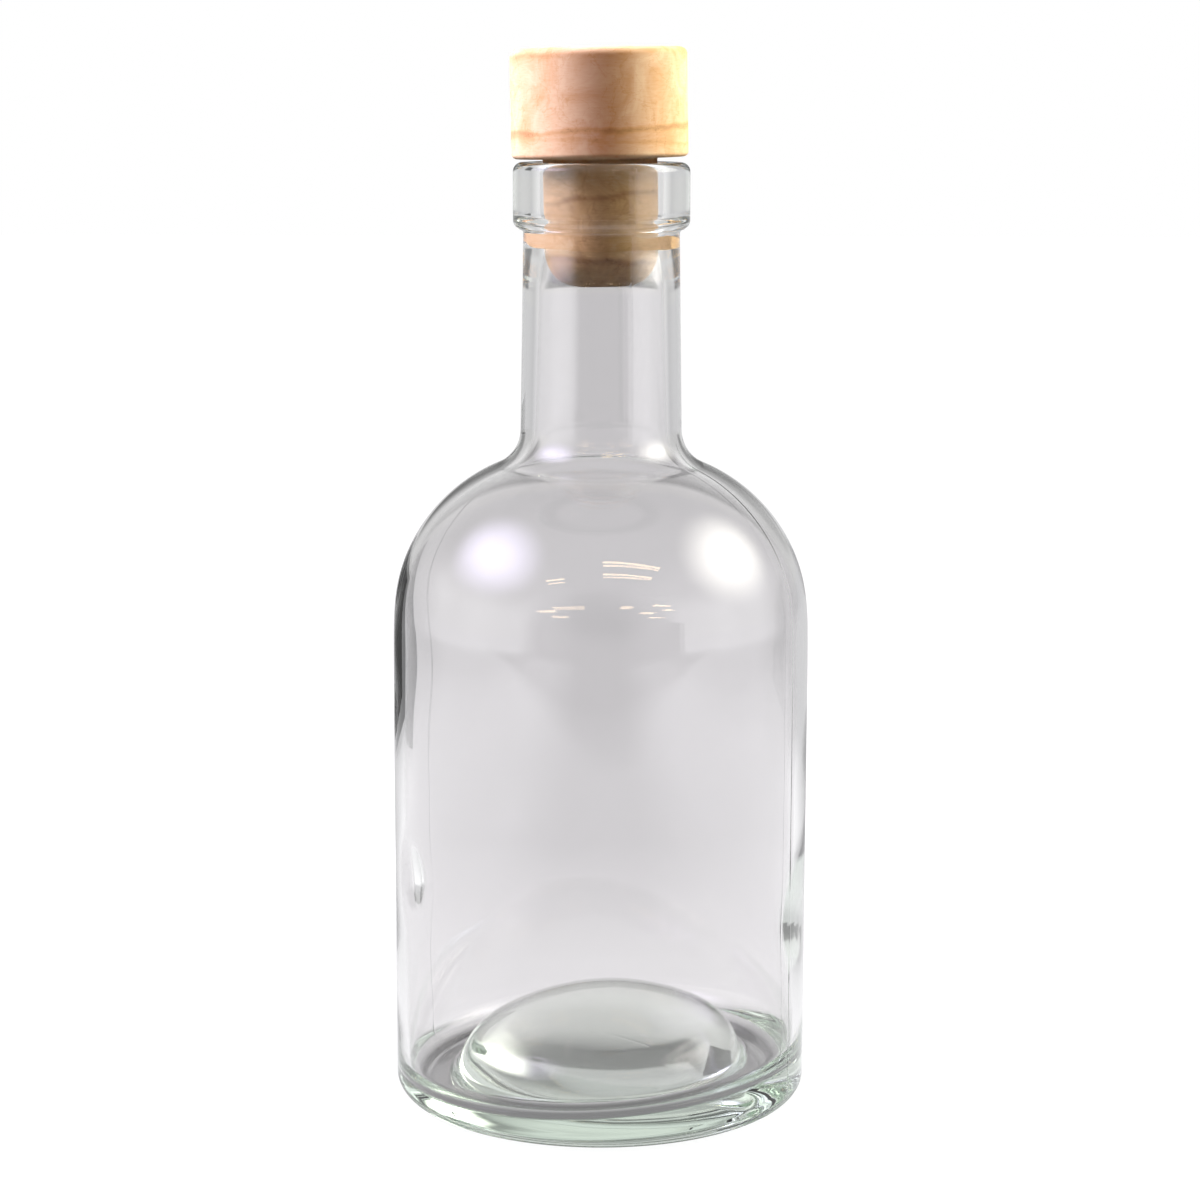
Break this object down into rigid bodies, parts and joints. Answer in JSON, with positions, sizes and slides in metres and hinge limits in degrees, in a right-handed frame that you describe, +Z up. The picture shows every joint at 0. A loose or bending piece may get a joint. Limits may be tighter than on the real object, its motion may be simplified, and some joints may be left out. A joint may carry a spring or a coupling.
{
  "type": "glass bottle with wooden stopper",
  "caption": "Round clear glass bottle with a domed shoulder, plain neck and heavy lip, closed by a turned wooden stopper that pulls out of the neck.",
  "frame": {"origin": "middle of the foot, on the surface that the bottle stands on", "axes": "+Z up along the bottle, the tallest way; the stopper leans towards -X; -Y is the side that the picture shows"},
  "size_m": [0.066, 0.066, 0.1667],
  "materials": {
    "glass": "clear, faintly green in thick sections, fire polished",
    "turned_wood": "bare turned hardwood, fine sanded"
  },
  "bodies": {
    "bottle": {"bottle": "glass"},
    "stopper": {"stopper": "turned_wood"}
  },
  "joints": [
    {"name": "stopper_pull", "type": "slide", "parent": "bottle", "child": "stopper", "axis": [-0.0201, 0, 0.9998], "range_m": [0, 0.04]}
  ]
}
